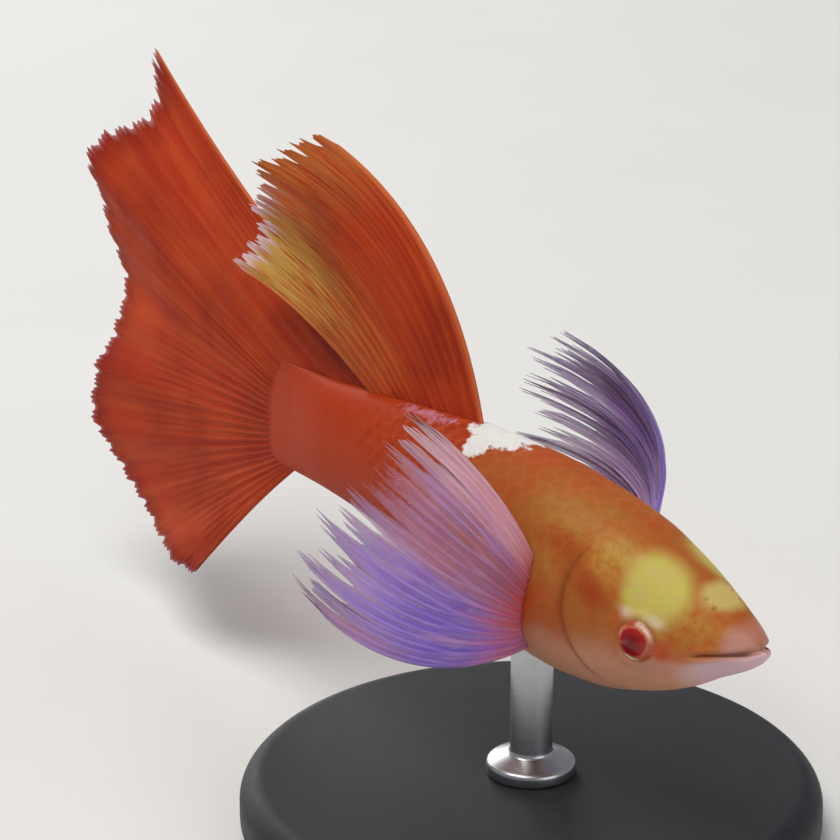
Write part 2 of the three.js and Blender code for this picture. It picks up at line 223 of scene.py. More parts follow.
def tube_faces(rows, columns):
    """Faces of a grid that closes round each row, with a flat end on the first and the last row."""
    row, column = np.meshgrid(np.arange(rows - 1), np.arange(columns), indexing="ij")
    following = (column + 1) % columns
    here = row * columns
    there = (row + 1) * columns
    quads = np.stack([here + column, here + following, there + following, there + column], -1)
    last_row = (rows - 1) * columns
    ends = [list(range(columns)), list(range(last_row, last_row + columns))]
    return quads.reshape(-1, 4).tolist() + ends


class Nodes:
    """A material's node tree, with short calls for the nodes that the looks are made of."""

    def __init__(self, name):
        self.material = bpy.data.materials.new(name)
        self.material.use_nodes = True
        self.tree = self.material.node_tree
        self.shader = self.tree.nodes["Principled BSDF"]

    def node(self, kind, **values):
        made = self.tree.nodes.new(kind)
        for key, value in values.items():
            setattr(made, key, value)
        return made

    def feed(self, socket, value):
        if isinstance(value, bpy.types.NodeSocket):
            self.tree.links.new(value, socket)
        else:
            socket.default_value = value

    def field(self, name):
        return self.node("ShaderNodeAttribute", attribute_name=name).outputs["Fac"]

    def math(self, operation, *values, clamp=False):
        made = self.node("ShaderNodeMath", operation=operation, use_clamp=clamp)
        for socket, value in zip(made.inputs, values):
            self.feed(socket, value)
        return made.outputs[0]

    def remap(self, value, low, high, to_low=0.0, to_high=1.0):
        made = self.node("ShaderNodeMapRange", interpolation_type="SMOOTHSTEP")
        self.feed(made.inputs["Value"], value)
        made.inputs["From Min"].default_value = low
        made.inputs["From Max"].default_value = high
        made.inputs["To Min"].default_value = to_low
        made.inputs["To Max"].default_value = to_high
        return made.outputs[0]

    def position(self):
        return self.node("ShaderNodeTexCoord").outputs["Object"]

    def vector(self, x, y, z=0.0):
        made = self.node("ShaderNodeCombineXYZ")
        for socket, value in zip(made.inputs, (x, y, z)):
            self.feed(socket, value)
        return made.outputs[0]

    def noise(self, vector, scale, detail, roughness=0.55):
        made = self.node("ShaderNodeTexNoise")
        self.feed(made.inputs["Vector"], vector)
        made.inputs["Scale"].default_value = scale
        made.inputs["Detail"].default_value = detail
        made.inputs["Roughness"].default_value = roughness
        return made.outputs["Fac"]

    def drawn_out(self, first, first_scale, second, second_scale, detail, roughness):
        """Noise over two fields, each with a scale of its own."""
        x = self.math("MULTIPLY", self.field(first), first_scale)
        y = self.math("MULTIPLY", self.field(second), second_scale)
        return self.noise(self.vector(x, y), 1.0, detail, roughness)

    def blend(self, share, first, second):
        made = self.node("ShaderNodeMix", data_type="RGBA")
        self.feed(made.inputs["Factor"], share)
        self.feed(made.inputs["A"], colour(first))
        self.feed(made.inputs["B"], colour(second))
        return made.outputs["Result"]

    def faint(self, name, share):
        """A painted field, weakened by a share."""
        return self.math("MULTIPLY", self.field(name), share)

    def woven(self, name, noise, low, high, to_low=0.0, to_high=1.0):
        """A painted field, let through by noise."""
        return self.faint(name, self.remap(noise, low, high, to_low, to_high))

    def broken(self, name, noise, ragged, low, high):
        """A painted field with its border broken up by noise."""
        wobble = self.math("MULTIPLY", self.math("SUBTRACT", noise, 0.5), ragged)
        return self.remap(self.math("ADD", self.field(name), wobble), low, high)

    def bump(self, *layers):
        """Bumps one over the other, each a height and its depth in millimetres."""
        normal = None
        for height, depth in layers:
            made = self.node("ShaderNodeBump")
            made.inputs["Distance"].default_value = depth * MM
            self.feed(made.inputs["Height"], height)
            if normal:
                self.feed(made.inputs["Normal"], normal)
            normal = made.outputs["Normal"]
        self.feed(self.shader.inputs["Normal"], normal)

    def set(self, **values):
        for key, value in values.items():
            self.feed(self.shader.inputs[key.replace("_", " ")], value)


def linear(value):
    value /= 255
    return value / 12.92 if value <= 0.04045 else ((value + 0.055) / 1.055) ** 2.4


def colour(value):
    """A colour given as display red, green and blue up to 255, or a socket left as it is."""
    if isinstance(value, bpy.types.NodeSocket):
        return value
    return (*(linear(channel) for channel in value), 1.0)


# Colours of the skin
ORANGE = (178, 78, 36)
OCHRE = (166, 94, 44)
BRICK = (154, 44, 20)
EMBER = (160, 58, 26)
GOLD = (196, 188, 82)
STRAW = (204, 178, 106)
BEIGE = (206, 148, 120)
ROSE = (190, 136, 122)
LILAC = (212, 178, 184)
WHITE = (232, 230, 226)
PEARL = (226, 208, 186)
SPOT = (194, 128, 150)
CHEEK_RED = (184, 64, 36)
# Painted shade in the groove behind the gill cover's edge
GILL_GROOVE_SHADE = (104, 44, 22)
# Painted shade in the mouth's slit, between the lips
MOUTH_SLIT_SHADE = (112, 62, 54)
SPECKLE = (120, 50, 26)
SCALE_RIM = (216, 136, 80)
TAIL_ROOT_RED = (172, 54, 14)

# Colours of the red fins, the second one in the skin too
RED = (166, 46, 20)
RED_ORANGE = (184, 70, 30)
DEEP_RED = (124, 26, 15)
# MAROON: the fins' dark margin, and also the painted shadow of the dorsal fin on the tail fin
MAROON = (104, 20, 14)
RAY_ORANGE = (206, 98, 50)
YELLOW = (190, 152, 76)
PALE_TIP = (214, 188, 204)
FIN_RIM = (214, 112, 64)

# Colours of the pectoral fins
DUSKY_ROSE = (182, 106, 112)
MAUVE = (158, 112, 152)
SMOKE = (142, 112, 188)
VIOLET = (92, 72, 192)
PINK = (218, 152, 156)
# LIGHT_VIOLET: a painted glow on the pectoral fins' film, as if lit through
LIGHT_VIOLET = (172, 148, 236)
PEARL_RAY = (214, 178, 206)
FIN_ROOT_RED = (194, 70, 48)

# Colours of the eyes
DARK_PUPIL = (112, 8, 10)
RED_PUPIL = (158, 20, 16)
PUPIL_RING = (190, 100, 66)
DARK_IRIS = (168, 66, 36)
LIGHT_IRIS = (184, 100, 60)
EYE_SHINE = (240, 228, 205)
EYE_BORDER = (168, 84, 46)

# Colours of the stand and the floor
DARK_BASE = (34, 36, 40)
GREY_BASE = (46, 48, 52)
DARK_STEEL = (180, 182, 186)
LIGHT_STEEL = (200, 202, 204)
DARK_FLOOR = (226, 225, 222)
LIGHT_FLOOR = (234, 233, 230)


def skin_material():
    look = Nodes("skin")
    position = look.position()
    broad = look.noise(position, 420, 4)
    fine = look.noise(position, 2600, 4, 0.65)
    grain = look.noise(position, 9000, 2)
    mottled = look.remap(fine, 0.2, 0.8)
    tone = look.blend(look.remap(broad, 0.32, 0.7), ORANGE, OCHRE)
    reds = look.blend(mottled, BRICK, RED_ORANGE)
    tone = look.blend(look.broken("red", broad, 0.5, 0.2, 0.8), tone, reds)
    tone = look.blend(look.broken("belly", broad, 0.35, 0.1, 0.95), tone, BEIGE)
    tone = look.blend(look.woven("haze", fine, 0.1, 0.9), tone, GOLD)
    tone = look.blend(look.broken("ember", broad, 0.5, 0.15, 0.95), tone, EMBER)
    golds = look.blend(mottled, GOLD, STRAW)
    tone = look.blend(look.broken("gold", broad, 0.4, 0.2, 0.8), tone, golds)
    tone = look.blend(look.broken("straw", broad, 0.4, 0.2, 0.85), tone, STRAW)
    tone = look.blend(look.broken("muzzle", broad, 0.3, 0.1, 0.95), tone, ROSE)
    tone = look.blend(look.broken("jaw", fine, 0.2, 0.1, 0.95), tone, LILAC)
    tone = look.blend(look.broken("spots", fine, 1.4, 0.42, 0.72), tone, SPOT)
    tone = look.blend(look.broken("white", fine, 1.1, 0.38, 0.58), tone, WHITE)
    tone = look.blend(look.broken("flush", fine, 0.3, 0.1, 1.0), tone, CHEEK_RED)
    tone = look.blend(look.broken("pearl", fine, 0.3, 0.1, 1.1), tone, PEARL)
    # Painted shade in the groove behind the gill cover's edge
    tone = look.blend(look.faint("gill", 0.4), tone, GILL_GROOVE_SHADE)
    # Painted shade in the mouth's slit, between the lips
    tone = look.blend(look.faint("mouth", 0.5), tone, MOUTH_SLIT_SHADE)
    speckle = look.math("MULTIPLY", look.remap(grain, 0.62, 0.75), 0.14)
    tone = look.blend(speckle, tone, SPECKLE)
    tone = look.blend(look.faint("scale_rim", 0.12), tone, SCALE_RIM)
    tone = look.blend(look.field("tail"), tone, TAIL_ROOT_RED)
    look.set(Base_Color=tone, Roughness=look.remap(fine, 0.2, 0.8, 0.42, 0.56), Specular_IOR_Level=0.05)
    look.set(Subsurface_Weight=0.12, Subsurface_Scale=0.0005, Subsurface_Radius=(1.0, 0.35, 0.2))
    look.set(Coat_Weight=0.05, Coat_Roughness=0.2)
    look.bump((fine, 0.012), (grain, 0.005))
    return look.material


def red_fin_material():
    look = Nodes("red_fin")
    streaks = look.drawn_out("across", 0.9, "along", 1.6, 4, 0.55)
    fibres = look.drawn_out("across", 7, "along", 5, 3, 0.6)
    cloud = look.noise(look.position(), 240, 3)
    tone = look.blend(look.remap(streaks, 0.3, 0.7), RED, RED_ORANGE)
    tone = look.blend(look.remap(cloud, 0.4, 0.75, 0, 0.55), tone, DEEP_RED)
    tone = look.blend(look.woven("ridge", fibres, 0.3, 0.7, 0.04, 0.24), tone, RAY_ORANGE)
    # Darker margin, and on the tail fin also a painted shadow of the dorsal fin over its upper root
    tone = look.blend(look.woven("edge", fibres, 0.2, 0.8, 0.3, 1), tone, MAROON)
    tone = look.blend(look.woven("yellow", fibres, 0.32, 0.6), tone, YELLOW)
    tone = look.blend(look.woven("pale", fibres, 0.25, 0.6), tone, PALE_TIP)
    tone = look.blend(look.faint("rim", 0.75), tone, FIN_RIM)
    look.set(Base_Color=tone, Roughness=look.remap(fibres, 0.2, 0.8, 0.5, 0.66), Specular_IOR_Level=0.08)
    look.set(Subsurface_Weight=0.2, Subsurface_Scale=0.0005, Subsurface_Radius=(1.0, 0.25, 0.12))
    look.bump((fibres, 0.012), (streaks, 0.02))
    return look.material


def pearl_fin_material():
    look = Nodes("pearl_fin")
    streaks = look.drawn_out("across", 1.1, "along", 2.5, 3, 0.6)
    fibres = look.drawn_out("across", 6, "along", 4, 3, 0.6)
    cloud = look.noise(look.position(), 330, 4)
    film = look.blend(look.field("violet"), DUSKY_ROSE, MAUVE)
    tone = look.blend(look.remap(streaks, 0.3, 0.7), film, SMOKE)
    tone = look.blend(look.woven("violet", streaks, 0.34, 0.6, 0.3, 1), tone, VIOLET)
    tone = look.blend(look.woven("band", fibres, 0.2, 0.7, 0.55, 1), tone, PINK)
    # Painted glow: the film lightened as if lit through
    tone = look.blend(look.field("light"), tone, LIGHT_VIOLET)
    tone = look.blend(look.woven("ridge", fibres, 0.3, 0.6, 0.1, 0.45), tone, PEARL_RAY)
    tone = look.blend(look.woven("flush", fibres, 0.2, 0.6, 0.6, 1), tone, FIN_ROOT_RED)
    solid = look.math("ADD", look.faint("ridge", 0.3), look.field("body"))
    solid = look.math("ADD", solid, look.remap(cloud, 0.35, 0.7, -0.1, 0.14), clamp=True)
    look.set(Base_Color=tone, Roughness=look.remap(fibres, 0.2, 0.8, 0.35, 0.5), Alpha=solid)
    look.set(Subsurface_Weight=0.6, Subsurface_Scale=0.0008, Subsurface_Radius=(1.0, 0.8, 1.0))
    look.set(Specular_IOR_Level=0.15, Coat_Weight=0.12, Coat_Roughness=0.2)
    look.bump((fibres, 0.012), (streaks, 0.02))
    return look.material


def eye_material():
    """Rings of colour from the pupil's middle outward, where the field ring is 1 at the iris's border."""
    look = Nodes("eye")
    ring = look.field("ring")
    grain = look.noise(look.position(), 5200, 4, 0.7)
    spokes = look.drawn_out("angle", 9, "ring", 3, 3, 0.6)
    edge = look.math("ADD", ring, look.remap(grain, 0.2, 0.8, -0.05, 0.05))
    iris = look.blend(look.remap(spokes, 0.3, 0.7), DARK_IRIS, LIGHT_IRIS)
    iris = look.blend(look.woven("shine", spokes, 0.2, 0.5, 0.5, 1), iris, EYE_SHINE)
    pupil = look.blend(look.remap(ring, 0.1, 0.66), DARK_PUPIL, RED_PUPIL)
    tone = look.blend(look.remap(edge, 0.64, 0.72), pupil, PUPIL_RING)
    tone = look.blend(look.remap(edge, 0.7, 0.82), tone, iris)
    tone = look.blend(look.remap(edge, 0.98, 1.1), tone, EYE_BORDER)
    look.set(Base_Color=tone, Roughness=0.25, Specular_IOR_Level=0.3, Coat_Weight=0.25, Coat_Roughness=0.08)
    look.set(Subsurface_Weight=0.1, Subsurface_Scale=0.0003)
    return look.material


def base_material():
    look = Nodes("base")
    grain = look.noise(look.position(), 2400, 5, 0.7)
    tone = look.blend(look.remap(grain, 0.3, 0.7), DARK_BASE, GREY_BASE)
    look.set(Base_Color=tone, Roughness=look.remap(grain, 0.3, 0.7, 0.52, 0.64), Specular_IOR_Level=0.3)
    look.bump((grain, 0.008))
    return look.material


def steel_material():
    look = Nodes("rod")
    height = look.node("ShaderNodeSeparateXYZ")
    look.feed(height.inputs[0], look.position())
    turned = look.vector(0.0, 0.0, look.math("MULTIPLY", height.outputs["Z"], 26000))
    brushed = look.noise(turned, 1.0, 2)
    tone = look.blend(brushed, DARK_STEEL, LIGHT_STEEL)
    look.set(Base_Color=tone, Metallic=1.0, Roughness=look.remap(brushed, 0.3, 0.7, 0.26, 0.34))
    look.bump((brushed, 0.0006))
    return look.material


def floor_material():
    look = Nodes("floor")
    grain = look.noise(look.position(), 60, 3)
    look.set(Base_Color=look.blend(grain, DARK_FLOOR, LIGHT_FLOOR), Roughness=0.75)
    return look.material


# Skin: rows from the rounded snout to the tail root, which thins and runs out over the tail fin's base
NOSE_ROWS = 12
HEAD_ROWS = 186
TRUNK_ROWS = 166
TAIL_ROWS = 30
SKIN_SIDES = 244
NOSE_CAP = 0.3
NOSE_TIP_SHARE = 0.02
HEAD_END = 7.6
TAIL_THINNING = 3.4
TAIL_OVERLAP = 3.8
TAIL_WIDTH_LOSS = 0.96
TAIL_HEIGHT_LOSS = 0.06

# Powers of sine and cosine in the skin's sections: 1 is an ellipse, and less is fuller
BACK_POWER = 0.8
REAR_BACK_POWER = 1.0
BELLY_POWER = 0.95

# Scales, in rows from the back to the belly, each one a rounded shape that overlaps the next behind it
SCALE_LENGTH = 0.74
SCALE_ROWS = 15
SCALE_RELIEF = 0.028
SCALE_REACH_ALONG = 1.02
SCALE_REACH_ACROSS = 0.86

# Relief of the head: how far each form rises or sinks
LIP_RISE = 0.05
MOUTH_DEPTH = 0.13
MOUTH_FOLD_DEPTH = 0.03
GILL_PLATE_RISE = 0.06
GILL_GROOVE_DEPTH = 0.05
CHEEK_DEPTH = 0.05
SHOULDER_RISE = 0.12
NOSTRIL_RIM_RISE = 0.03
NOSTRIL_SPAN = 0.72
NOSTRILS = ((1.75, 0.16, 0.1), (2.17, 0.12, 0.08))
LID_RISE = 0.06
SOCKET_DEPTH = 0.3


def skin_rows():
    """Station and share of the full section for each row."""
    nose = np.linspace(0, 1, NOSE_ROWS, endpoint=False) * math.pi / 2
    head = np.linspace(NOSE_CAP, HEAD_END, HEAD_ROWS, endpoint=False)
    trunk = np.linspace(HEAD_END, BODY_LENGTH, TRUNK_ROWS, endpoint=False)
    tail = BODY_LENGTH + TAIL_OVERLAP * np.linspace(0, 1, TAIL_ROWS)
    stations = np.concatenate([NOSE_CAP * (1 - np.cos(nose)), head, trunk, tail])
    shares = np.ones_like(stations)
    shares[:NOSE_ROWS] = np.maximum(np.sin(nose), NOSE_TIP_SHARE)
    return stations, shares


def scale_pattern(s, turn):
    """Height and rim of overlapping scales: the scale nearest the head that covers a point is on top."""
    x = s / SCALE_LENGTH
    y = turn / math.pi * SCALE_ROWS
    best = np.full(x.shape, np.inf)
    height = np.zeros(x.shape)
    rim = np.zeros(x.shape)
    for row_step in (-1, 0, 1):
        row = np.round(y) + row_step
        shift = 0.5 * (row % 2)
        for column_step in (-2, -1, 0, 1):
            middle = np.floor(x - shift) + column_step + shift
            behind = x - middle
            reach = np.hypot(behind / SCALE_REACH_ALONG, (y - row) / SCALE_REACH_ACROSS)
            on_top = (reach < 1) & (middle < best)
            best = np.where(on_top, middle, best)
            height = np.where(on_top, 0.5 + 0.5 * behind, height)
            rim = np.where(on_top, smooth(reach, 0.72, 0.98) * smooth(behind, 0.1, 0.6), rim)
    return height, rim


def gill_edge(angle):
    """Station of the gill cover's rear edge, farthest forward at the nape and the throat."""
    rise = np.sin(angle + 0.12)
    return GILL_STATION - np.where(rise > 0, GILL_NAPE, GILL_THROAT) * rise * rise


def skin_shape():
    """Grid of skin points with the station, angle, turn away from the back and height of each."""
    stations, shares = skin_rows()
    angles = 2 * math.pi * np.arange(SKIN_SIDES) / SKIN_SIDES
    s, angle = np.meshgrid(stations, angles, indexing="ij")
    section = shares[:, None] * np.ones_like(angle)
    share = np.clip(s / BODY_LENGTH, 0, 1)
    cosine = np.cos(angle)
    sine = np.sin(angle)
    level = level_at(share)
    back_power = BACK_POWER + (REAR_BACK_POWER - BACK_POWER) * smooth(share, 0.1, 0.6)
    power = np.where(sine > 0, back_power, BELLY_POWER)
    past = smooth(s, BODY_LENGTH - TAIL_THINNING, BODY_LENGTH + TAIL_OVERLAP)
    height = np.where(sine > 0, back_at(share) - level, belly_at(share) + level)
    height = height * (1 - TAIL_HEIGHT_LOSS * past)
    width = width_at(share) * (1 - TAIL_WIDTH_LOSS * past)
    across = width * section * np.sign(cosine) * np.abs(cosine) ** power
    up = height * section * np.sign(sine) * np.abs(sine) ** power
    jaw = LOWER_JAW * (1 - smooth(s, 0, JAW_LENGTH)) * np.abs(sine) ** 0.3
    points = place(s - np.where(sine < 0, jaw, 0), across, level + up)
    turn = np.abs((angle - math.pi / 2 + math.pi) % (2 * math.pi) - math.pi)
    return points, s, angle, turn, up


def normals_of(points):
    """Outward normals of a grid that closes round its second axis."""
    along = np.gradient(points, axis=0)
    round_it = np.roll(points, -1, 1) - np.roll(points, 1, 1)
    normals = np.cross(along, round_it)
    normals[0] = normals[1]
    middle = points.mean(1, keepdims=True)
    facing = np.sign(((points - middle) * normals).sum(-1)[len(points) // 2].sum())
    return unit(normals + 1e-12) * facing


def mouth_fade(s):
    """Full along the mouth, and nothing at the tip of the snout and behind the mouth's corner."""
    return smooth(s, 0, NOSE_CAP) * (1 - smooth(s, MOUTH_LENGTH * 0.75, MOUTH_LENGTH * 1.1))


def head_relief(points, s, angle, turn, up):
    """Lips, mouth line, gill cover, nostrils and the smaller folds of the head, as a rise over the skin."""
    fade = mouth_fade(s)
    lips = LIP_RISE * bell(np.abs(up), 0.2, 0.13) * fade
    mouth = -MOUTH_DEPTH * bell(up, 0, 0.06) * fade
    fold = -MOUTH_FOLD_DEPTH * bell(s, MOUTH_LENGTH * 1.15, 0.12) * bell(turn, 1.75, 0.3)
    behind = s - gill_edge(angle)
    side = smooth(turn, 0.5, 0.95) * (1 - smooth(turn, 2.5, 2.95))
    plate = GILL_PLATE_RISE * np.exp(np.minimum(behind, 0) / 0.8) * (behind < 0)
    groove = -GILL_GROOVE_DEPTH * np.exp(-np.maximum(behind, 0) / 0.3) * (behind >= 0)
    cheek = -CHEEK_DEPTH * bell(s - 0.35 * np.cos(turn - 1.7), 5.2, 0.14) * bell(turn, 1.8, 0.5)
    shoulder = SHOULDER_RISE * bell(s, 8.7, 0.6) * bell(turn, 1.95, 0.28)
    rise = lips + mouth + fold + (plate + groove) * side + cheek + shoulder
    for sign in (1, -1):
        for station, depth, radius in NOSTRILS:
            pit = place(station, sign * NOSTRIL_SPAN, back_at(station / BODY_LENGTH) * 0.93)
            away = np.linalg.norm(points - pit, axis=-1)
            rise = rise - depth * bell(away, 0, radius) + NOSTRIL_RIM_RISE * bell(away, 0.17, 0.05)
    return rise


def painted_fields(s, angle, turn, up):
    """Where each colour of the skin lies, from 0 to 1, alike on both sides."""
    degrees = np.degrees(turn)

    def oval(station, side, length, width):
        """A flat patch with a soft border, its side and width in degrees from the back."""
        away = np.hypot((s - station) / length, (degrees - side) / width)
        return np.clip(1.25 - 0.75 * away, 0, 1)

    def cloud(station, side, length, width):
        return bell(s, station, length) * bell(degrees, side, width)

    behind_gill = s - gill_edge(angle)
    front = 1 - smooth(s, 8, 11)
    belly = smooth(degrees, 90, 132) * (1 - smooth(s, 9, 14))
    snout = (1 - smooth(s, 0.4, 1.5)) * (0.6 + 0.4 * smooth(degrees, 10, 50))
    spotted = smooth(s, 14.6, 15.4) * (1 - smooth(s, 18, 19.5))
    haze = 0.3 * front * bell(degrees, 50, 40) + 0.2 * cloud(1.9, 62, 1.1, 25)
    ember = 0.7 * cloud(5.9, 76, 1.1, 12) + 0.6 * cloud(7.6, 58, 1.4, 14)
    return {
        "gold": np.maximum(oval(3.75, 44, 1.25, 34), oval(4.1, 62, 0.8, 14)),
        "straw": oval(2.05, 4, 0.62, 26),
        "haze": haze + 0.6 * cloud(5.7, 44, 0.7, 16),
        "belly": belly + 0.45 * bell(degrees, 100, 22) * (1 - smooth(s, 3, 8)),
        "ember": ember + 0.45 * cloud(10.5, 70, 1.8, 18),
        "muzzle": snout + 0.6 * cloud(2.9, 108, 1.5, 14),
        "jaw": smooth(degrees, 88, 112) * (1 - smooth(s, 0.9, 3.2)),
        "red": smooth(s, 10.5, 17) + 0.35 * bell(degrees, 0, 30) * smooth(s, 5, 9),
        "white": np.maximum(oval(13.2, 6, 1.35, 18), oval(13.5, 27, 0.55, 13)),
        "spots": 0.66 * spotted * bell(degrees, 16, 14),
        "flush": 0.7 * cloud(2.8, 91, 0.5, 9) + 0.8 * cloud(9, 104, 1.1, 22),
        "pearl": 0.65 * np.maximum(cloud(4.45, 75, 0.4, 6), cloud(3.35, 72, 0.6, 6)),
        # Painted shade in the groove behind the gill cover's edge
        "gill": bell(behind_gill, 0.12, 0.2) * smooth(degrees, 45, 75) * (1 - smooth(degrees, 120, 160)),
        # Painted shade in the mouth's slit, between the lips
        "mouth": bell(up, 0, 0.06) * mouth_fade(s),
        "tail": 0.9 * smooth(s, 15.5, BODY_LENGTH - 3),
    }


def scaled_share(s, angle, turn):
    """How much the scales show: behind the gill cover and on the nape, and less towards the tail."""
    behind_gill = smooth(s - gill_edge(angle), 0.35, 1.0)
    nape = smooth(s, 4.6, 6) * (1 - smooth(turn, 0.7, 1.0))
    share = np.maximum(behind_gill, nape) * (1 - 0.5 * smooth(s, 15, 20))
    return share * (1 - smooth(s, BODY_LENGTH - 4, BODY_LENGTH - 0.5))


def round_the_eyes(points, normals):
    """The skin raised to a lid round each eye, and sunk inside the eyeball where the eye shows."""
    for sign in (1, -1):
        centre = place(EYE_STATION, sign * EYE_SPAN, EYE_LEVEL)
        away = np.linalg.norm(points - centre, axis=-1, keepdims=True)
        points = points + normals * (LID_RISE * bell(away, EYE_RADIUS + 0.1, 0.15))
        outward = (points - centre) / away
        inside = 1 - smooth(away, EYE_RADIUS - 0.12, EYE_RADIUS - 0.02)
        points = points - outward * inside * (away - (EYE_RADIUS - SOCKET_DEPTH))
    return points


def make_skin(material):
    points, s, angle, turn, up = skin_shape()
    normals = normals_of(points)
    height, rim = scale_pattern(s, turn)
    scaled = scaled_share(s, angle, turn)
    rise = head_relief(points, s, angle, turn, up) + SCALE_RELIEF * (height - 0.5) * scaled
    points = round_the_eyes(points + normals * rise[..., None], normals)
    fields = painted_fields(s, angle, turn, up)
    fields["scale_rim"] = rim * scaled
    piece = add_closed_mesh("fish_skin", points.reshape(-1, 3), tube_faces(*s.shape), material, fields)
    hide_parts("head", "trunk", "peduncle")
    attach(piece, "root")


# Eye: its grid, the shares of its look outward and ahead, and angles from its middle in radians
EYE_ROWS = 64
EYE_COLUMNS = 96
EYE_OUTWARD = 0.985
EYE_AHEAD = 0.17
IRIS_ANGLE = 0.82
CORNEA_BULGE = 0.05
CORNEA_ANGLE = 0.5
POLE_ANGLE = 0.001


def make_eye(side, material):
    """An eyeball with a bulging cornea, and fields for its pupil, iris and shine."""
    centre = place(EYE_STATION, side * EYE_SPAN, EYE_LEVEL)
    to_back, to_left, to_up = axes_at(EYE_STATION)
    out = unit(to_left * side * EYE_OUTWARD - to_back * EYE_AHEAD)
    ahead = unit(np.cross(out, to_up) * -side)
    above = np.cross(out, ahead) * side
    tilts = np.linspace(POLE_ANGLE, math.pi - POLE_ANGLE, EYE_ROWS)
    turns = 2 * math.pi * np.arange(EYE_COLUMNS) / EYE_COLUMNS
    tilt, turn = np.meshgrid(tilts, turns, indexing="ij")
    bulge = 1 + CORNEA_BULGE * bell(tilt, 0, CORNEA_ANGLE)
    shape = np.cos(tilt)[..., None] * out * bulge[..., None] + (
        (np.sin(tilt) * np.cos(turn))[..., None] * ahead + (np.sin(tilt) * np.sin(turn))[..., None] * above
    )
    points = centre + EYE_RADIUS * shape
    ring = tilt / IRIS_ANGLE
    shine = 0.8 * bell(turn, 2.2, 0.5) * bell(ring, 0.86, 0.12)
    shine = shine + 1.2 * bell(turn, 4.8, 0.4) * bell(ring, 0.9, 0.16)
    shine = shine + 0.45 * bell(turn, 0.2, 0.4) * bell(ring, 0.84, 0.1)
    name = "eye_of_left_side" if side > 0 else "eye_of_right_side"
    faces = tube_faces(EYE_ROWS, EYE_COLUMNS)
    fields = {"ring": ring, "angle": turn, "shine": shine}
    piece = add_closed_mesh(name, points.reshape(-1, 3), faces, material, fields)
    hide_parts("eye_left" if side > 0 else "eye_right")
    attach(piece, "root")


def branches(local, v):
    """Nearness to a ray's branches: one ray at the root, two from a third and four near the margin."""
    first = 0.25 * smooth(v, 0.3, 0.6)
    second = 0.125 * smooth(v, 0.62, 0.9)
    away = np.full(local.shape, np.inf)
    for a in (-1, 1):
        for b in (-1, 1):
            away = np.minimum(away, np.abs(local - a * first - b * second))
    width = 0.16 - 0.09 * smooth(v, 0.2, 0.9)
    return np.exp(-((away / width) ** 2))


def sheet_faces(columns, rows):
    """Faces of two like grids of points, one behind the other, and of the strip round their borders."""
    front = np.arange(columns * rows).reshape(columns, rows)
    back = front + columns * rows
    front_quads = np.stack([front[:-1, :-1], front[1:, :-1], front[1:, 1:], front[:-1, 1:]], -1)
    back_quads = np.stack([back[:-1, :-1], back[:-1, 1:], back[1:, 1:], back[1:, :-1]], -1)
    loop = np.concatenate([front[:, 0], front[-1, 1:], front[-2::-1, -1], front[0, -2:0:-1]])
    following = np.roll(loop, -1)
    border = np.stack([loop, loop + columns * rows, following + columns * rows, following], -1)
    return np.concatenate([front_quads.reshape(-1, 4), back_quads.reshape(-1, 4), border]).tolist()


def still(u, v):
    return 0 * u * v


class Fin:
    """A thin membrane over branching rays, with a frayed margin.

    It is a grid: u runs over its rays and v along each, both from 0 to 1. For each u, root is the point where
    its line starts, start and end are its directions at the root and at the tip, and reach is its length.
    Wave is the sheet's sway over u and v, and fields are its painted fields there.
    """

    def __init__(
        self,
        name,
        rays,
        root,
        start,
        end,
        reach,
        fields,
        wave=still,
        steps=110,
        per_ray=9,
        fray=0.06,
        uneven=0.05,
        membrane=0.12,
        ridge=0.07,
    ):
        self.name = name
        u = np.linspace(0, 1, rays * per_ray + 1)
        x = u * rays
        ray = np.minimum(x.astype(int), rays - 1)
        local = x - ray - 0.5
        share = self.frayed_shares(x, ray, local, rays, fray, uneven)
        turned = (share[:, None] * (np.arange(steps) + 0.5) / steps)[..., None]
        ways = unit(start(u)[:, None] * (1 - turned) + end(u)[:, None] * turned)
        moves = ways * (reach(u) * share / steps)[:, None, None]
        lines = np.concatenate([np.zeros((len(u), 1, 3)), np.cumsum(moves, 1)], 1)
        middle = lines + root(u)[:, None]
        normals = unit(np.cross(np.gradient(middle, axis=0), np.gradient(middle, axis=1)) + 1e-12)
        u, v = np.meshgrid(u, np.linspace(0, 1, steps + 1), indexing="ij")
        raised = branches(np.broadcast_to(local[:, None], u.shape), v) * smooth(v, 0, 0.2)
        taper = 1 - 0.72 * smooth(v, 0.5, 1)
        thick = (membrane + ridge * 2 * raised) * taper
        middle = middle + normals * wave(u, v)[..., None]
        self.front = middle + normals * thick[..., None] / 2
        self.back = middle - normals * thick[..., None] / 2
        self.fields = {"across": u * rays, "along": v, "ridge": raised * (1 - 0.3 * v), **fields(u, v)}

    def frayed_shares(self, x, ray, local, rays, fray, uneven):
        """Share of its length that each line keeps: uneven by ray and branch, and notched between them."""
        rng = np.random.default_rng(SEED + len(self.name) * 13 + rays)
        own = 1 - uneven * rng.random(rays)
        branch = 1 - 0.35 * fray * rng.random(4 * rays)
        branch_at = branch[np.minimum((x * 4).astype(int), 4 * rays - 1)]
        tip = np.abs((local * 4) % 1 - 0.5) * 2
        split = np.clip(np.abs(local) * 2, 0, 1) ** 4
        notches = 1 - fray * (0.45 * (1 - tip) ** 1.5 + 0.75 * split)
        return own[ray] * notches * branch_at

    def make(self, material, slot, *nodes):
        points = np.concatenate([self.front.reshape(-1, 3), self.back.reshape(-1, 3)])
        faces = sheet_faces(*self.front.shape[:2])
        floats = {key: np.concatenate([np.ravel(value)] * 2) for key, value in self.fields.items()}
        piece = add_closed_mesh(self.name, points, faces, material, floats)
        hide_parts(*nodes)
        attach(piece, "root")


# Tail fin, from its upper ray down: the upper rays start this far forward, under the dorsal fin
CAUDAL_FORWARD = 8
CAUDAL_STRETCH = 1.045


